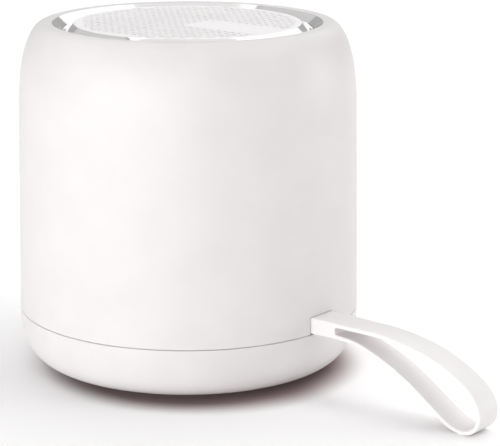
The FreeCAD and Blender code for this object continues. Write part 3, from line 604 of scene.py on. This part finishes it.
def smooth_line(points, steps):
    """A cubic spline through (x, z) points that leaves along +X and comes back along -X."""
    count = len(points)
    spans = [math.dist(a, b) for a, b in zip(points, points[1:])]
    slopes = []
    for k in (0, 1):
        lead, back = ((1.0, -1.0), (0.0, 0.0))[k]
        diagonal, right = [1.0] + [0.0] * (count - 1), [lead] + [0.0] * (count - 1)
        upper = [0.0] * count
        for i in range(1, count - 1):
            h0, h1 = spans[i - 1], spans[i]
            rise0 = (points[i][k] - points[i - 1][k]) / h0
            rise1 = (points[i + 1][k] - points[i][k]) / h1
            diagonal[i] = 2 * (h0 + h1) - h1 * upper[i - 1]
            upper[i] = h0 / diagonal[i]
            right[i] = (3 * (h1 * rise0 + h0 * rise1) - h1 * right[i - 1]) / diagonal[i]
        right[-1] = back
        for i in range(count - 2, 0, -1):
            right[i] -= upper[i] * right[i + 1]
        slopes.append(right)
    line = []
    for i, h in enumerate(spans):
        for n in range(steps):
            u = n / steps
            a, b = 2 * u ** 3 - 3 * u ** 2 + 1, (u ** 3 - 2 * u ** 2 + u) * h
            c, d = 3 * u ** 2 - 2 * u ** 3, (u ** 3 - u ** 2) * h
            line.append(tuple(MM * (a * points[i][k] + b * slopes[k][i]
                                    + c * points[i + 1][k] + d * slopes[k][i + 1]) for k in (0, 1)))
    line.append((points[-1][0] * MM, points[-1][1] * MM))
    return line


def strap_sections():
    """Outer and inner line of the loop, as (x, z) points; the inner is one strip inwards."""
    outer = smooth_line(LOOP_POINTS, 7)
    inner = []
    for i, (x, z) in enumerate(outer):
        before, after = outer[max(i - 1, 0)], outer[min(i + 1, len(outer) - 1)]
        dx, dz = after[0] - before[0], after[1] - before[1]
        size = math.hypot(dx, dz)
        inner.append((x + dz / size * STRIP_T, z - dx / size * STRIP_T))
    return outer, inner


def make_strap():
    """One rubber piece: the block in the wall, the split and both strips of the loop."""
    outer, inner = strap_sections()
    start = SPLIT_X + GAP_CORNER_R
    kept = [i for i in range(len(outer)) if inner[i][0] > start]
    first, last = kept[0], kept[-1]
    steps = 12
    bm = bmesh.new()

    def vert(p):
        return bm.verts.new((p[0], 0, p[1]))

    top_in, low_in = inner[first], inner[last]
    middle = ((top_in[0] + low_in[0]) / 2, (top_in[1] + low_in[1]) / 2)
    nose = []
    reach = middle[0] - SPLIT_X
    rise = top_in[1] - middle[1]
    for i in range(1, steps - 2):
        a = math.pi * i / (steps - 2)
        away = math.sin(a) ** 0.5
        side = math.copysign(abs(math.cos(a)) ** 0.5, math.cos(a))
        nose.append((middle[0] - reach * away, middle[1] + rise * side))
    turn = [outer[first], top_in] + nose + [low_in, outer[last]]
    columns = []
    block_steps = 22
    block_x0, block_x1 = ROOT_LOW.x + BLOCK_BACK, SPLIT_X - BLOCK_SHORT
    for i in range(block_steps + 1):
        x = block_x0 + (block_x1 - block_x0) * i / block_steps
        t = min(max((x - BLOCK_SLOPE_X) / BLOCK_SLOPE_L, 0), 1)
        low = STRAP_Z0 + (LOOP_LOW_Z - STRAP_Z0) * t * t * (3 - 2 * t)
        rows = range(len(turn))
        columns.append([(x, STRAP_Z1 + (low - STRAP_Z1) * k / (len(turn) - 1)) for k in rows])
    grid = [[vert(p) for p in column] for column in columns] + [[vert(p) for p in turn]]
    for left, right in zip(grid, grid[1:]):
        for k in range(len(left) - 1):
            bm.faces.new([left[k], left[k + 1], right[k + 1], right[k]])
    strip = [(grid[-1][0], grid[-1][1])]
    for i in range(first + 1, last):
        strip.append((vert(outer[i]), vert(inner[i])))
    strip.append((grid[-1][-1], grid[-1][-2]))
    for (a, b), (c, d) in zip(strip, strip[1:]):
        bm.faces.new([a, b, d, c])
    half = STRAP_W / 2
    faces = list(bm.faces)
    lifted = bmesh.ops.extrude_face_region(bm, geom=faces)
    moved = [v for v in lifted["geom"] if isinstance(v, bmesh.types.BMVert)]
    for v in moved:
        out = min(max((v.co.x - SPLIT_X) / (NARROW_X - SPLIT_X), 0), 1)
        v.co.y = half + (LOOP_FAR_Y - half) * out
    still = [v for v in bm.verts if v not in set(moved)]
    bmesh.ops.translate(bm, verts=still, vec=(0, -half, 0))
    bmesh.ops.recalc_face_normals(bm, faces=bm.faces)
    sharp = [e for e in bm.edges if len(e.link_faces) == 2 and e.calc_face_angle(0) > math.radians(60)]
    bmesh.ops.bevel(bm, geom=sharp, offset=STRAP_EDGE_R, segments=3, profile=0.5, affect="EDGES")
    strap = new_object("strap", bm, STRAP, 50)
    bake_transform(strap)
    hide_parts("strap_root", "strap_loop")


# ---- controls ----------------------------------------------------------
def button_mark(bm, kind, z, drum_r):
    """A raised minus, plus or plain triangle that follows the cap."""
    shapes = {"minus": [[(-1.2, -0.22), (1.2, -0.22), (1.2, 0.22), (-1.2, 0.22)]],
              "play": [[(0.9, -1.1), (0.9, 1.1), (-1.1, 0.0)]],
              "plus": [[(-1.2, -0.22), (-0.22, -0.22), (-0.22, -1.2), (0.22, -1.2), (0.22, -0.22),
                        (1.2, -0.22), (1.2, 0.22), (0.22, 0.22), (0.22, 1.2), (-0.22, 1.2),
                        (-0.22, 0.22), (-1.2, 0.22)]]}
    for shape in shapes[kind]:
        low, high = [], []
        for y, dz in shape:
            x = -math.sqrt(drum_r ** 2 - (y * MM) ** 2)
            low.append(bm.verts.new((x + MARK_LOW, y * MM, z + dz * MM)))
            high.append(bm.verts.new((x - MARK_HIGH, y * MM, z + dz * MM)))
        bm.faces.new(high)
        bm.faces.new(low[::-1])
        for i in range(len(shape)):
            j = (i + 1) % len(shape)
            bm.faces.new([low[i], low[j], high[j], high[i]])


def make_button(kind):
    low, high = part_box("button_" + kind)
    z = (low.z + high.z) / 2
    drum_r = wall_r(z) + BUTTON_PROUD
    edge = BUTTON_EDGE_R
    steps = 64
    rows = [(BUTTON_R * t, 0.0) for t in (0.2, 0.4, 0.6, 0.78)]
    for i in range(7):
        a = math.pi / 2 * i / 6
        rows.append((BUTTON_R - edge + edge * math.sin(a), edge * (1 - math.cos(a))))
    bm = bmesh.new()
    center = bm.verts.new((-drum_r, 0, z))
    rings = []
    for r, drop in rows:
        ring = []
        for i in range(steps):
            a = 2 * math.pi * i / steps
            y, dz = r * math.cos(a), r * math.sin(a)
            ring.append(bm.verts.new((-math.sqrt(drum_r ** 2 - y ** 2) + drop, y, z + dz)))
        rings.append(ring)
    back = [bm.verts.new((BUTTON_BACK_X, v.co.y, v.co.z)) for v in rings[-1]]
    rings.append(back)
    for i in range(steps):
        bm.faces.new([center, rings[0][i], rings[0][(i + 1) % steps]])
    for a, b in zip(rings, rings[1:]):
        for i in range(steps):
            j = (i + 1) % steps
            bm.faces.new([a[i], b[i], b[j], a[j]])
    bm.faces.new(back)
    button_mark(bm, kind, z, drum_r)
    button = new_object("cap_" + kind, bm, BUTTON, 40)
    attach(button, "button_" + kind)
    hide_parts("button_" + kind)


# ---- studio ------------------------------------------------------------
PAINTED_SHADOW_R0, PAINTED_SHADOW_R1 = 28.5 * MM, 38.0 * MM   # painted contact shadow: the paper's colour darkens from R1 inwards to R0
# centre of the painted shadow, set off from the drum's axis
PAINTED_SHADOW_SHIFT = (4.6 * MM, -0.9 * MM)


def make_floor_with_painted_shadow():
    """White paper with a painted contact shadow: its colour darkens softly round where the drum
    stands.
    """
    paper = material("studio_floor_painted_shadow", (0.97, 0.965, 0.965), 0.9, Specular_IOR_Level=0.0)
    tree = paper.node_tree
    place = tree.nodes.new("ShaderNodeTexCoord")
    away = tree.nodes.new("ShaderNodeVectorMath")
    away.operation = "DISTANCE"
    away.inputs[1].default_value = (*PAINTED_SHADOW_SHIFT, 0)
    painted_shadow_fade = tree.nodes.new("ShaderNodeMapRange")
    painted_shadow_fade.interpolation_type = "SMOOTHSTEP"
    painted_shadow_fade.inputs["From Min"].default_value = PAINTED_SHADOW_R0
    painted_shadow_fade.inputs["From Max"].default_value = PAINTED_SHADOW_R1
    # painted shadow: colour A, the shadow, blends into colour B, the white paper, from R0 out to R1
    tint = tree.nodes.new("ShaderNodeMix")
    tint.data_type = "RGBA"
    tint.inputs["A"].default_value = (0.37, 0.288, 0.294, 1)
    tint.inputs["B"].default_value = (0.985, 0.98, 0.98, 1)
    tree.links.new(place.outputs["Object"], away.inputs[0])
    tree.links.new(away.outputs["Value"], painted_shadow_fade.inputs["Value"])
    tree.links.new(painted_shadow_fade.outputs["Result"], tint.inputs["Factor"])
    tree.links.new(tint.outputs["Result"], tree.nodes["Principled BSDF"].inputs["Base Color"])
    return paper


FLOOR = make_floor_with_painted_shadow()


def add_floor():
    bm = bmesh.new()
    bmesh.ops.create_grid(bm, x_segments=4, y_segments=4, size=8.0)
    floor = new_object("floor", bm, FLOOR)


AIM_Z = 40 * MM     # height on the axis that the boxes of add_light face


def new_panel(name, width, height, power):
    """A rectangular soft box, linked to the scene."""
    data = bpy.data.lights.new(name, "AREA")
    data.shape = "RECTANGLE"
    data.size = width
    data.size_y = height
    data.energy = power
    panel = bpy.data.objects.new(name, data)
    bpy.context.scene.collection.objects.link(panel)
    return panel


def add_light(name, azimuth, elevation, distance, width, height, power):
    """A soft box aimed at the drum; azimuth is from the camera, positive to its right."""
    light = new_panel(name, width, height, power)
    a = math.radians(CAMERA_AZIMUTH + azimuth)
    e = math.radians(elevation)
    aim = Vector((0, 0, AIM_Z))
    toward = Vector((math.sin(a) * math.cos(e), -math.cos(a) * math.cos(e), math.sin(e)))
    place = aim + distance * toward
    turn = (place - aim).to_track_quat("Z", "Y").to_matrix().to_4x4()
    light.matrix_world = Matrix.Translation(place) @ turn


def add_overhead(name, right, back, up, width, depth, power):
    """A level soft box facing down; right and back are from the drum's axis, seen from the camera."""
    light = new_panel(name, width, depth, power)
    turn = Matrix.Rotation(math.radians(CAMERA_AZIMUTH), 4, "Z")
    light.matrix_world = turn @ Matrix.Translation((right, back, up))


LIGHTS = [   # name, azimuth, elevation, distance, width, height, power
    ("front", -15, 6, 1.0, 0.45, 0.4, 3.6),
    ("key_left", -45, 6, 1.0, 0.45, 0.4, 4.4),
    ("side_left", -75, 6, 1.0, 0.45, 0.4, 1.4),
    ("side_right", 98, 6, 1.0, 0.45, 0.4, 2.8),
    ("high_right", 75, 50, 1.0, 0.45, 0.4, 1.8),
    ("backdrop", 180, 10, 2.5, 4.0, 1.0, 4.0),
]
OVERHEAD = [   # name, right, back, up, width, depth, power
    ("overhead_back", 0.72, 1.35, 1.0, 2.4, 2.4, 26.0),
    ("overhead_front", 0.2, -0.35, 1.0, 1.4, 1.0, 3.6),
    ("overhead_left", -1.2, 1.1, 1.0, 1.4, 2.8, 7.0),
]
WORLD = 0.1


def add_lights():
    world = bpy.data.worlds.new("studio")
    bpy.context.scene.world = world
    world.use_nodes = True
    sky = world.node_tree.nodes["Background"]
    sky.inputs["Color"].default_value = (1, 0.995, 0.995, 1)
    sky.inputs["Strength"].default_value = WORLD
    for light in LIGHTS:
        add_light(*light)
    for light in OVERHEAD:
        add_overhead(*light)


bpy.context.scene.view_settings.view_transform = "Standard"
add_camera()
dress_nodes()
make_shell()
make_base()
make_foot()
make_trim()
make_grille()
make_strap()
for kind in BUTTONS:
    make_button(kind)
add_floor()
add_lights()
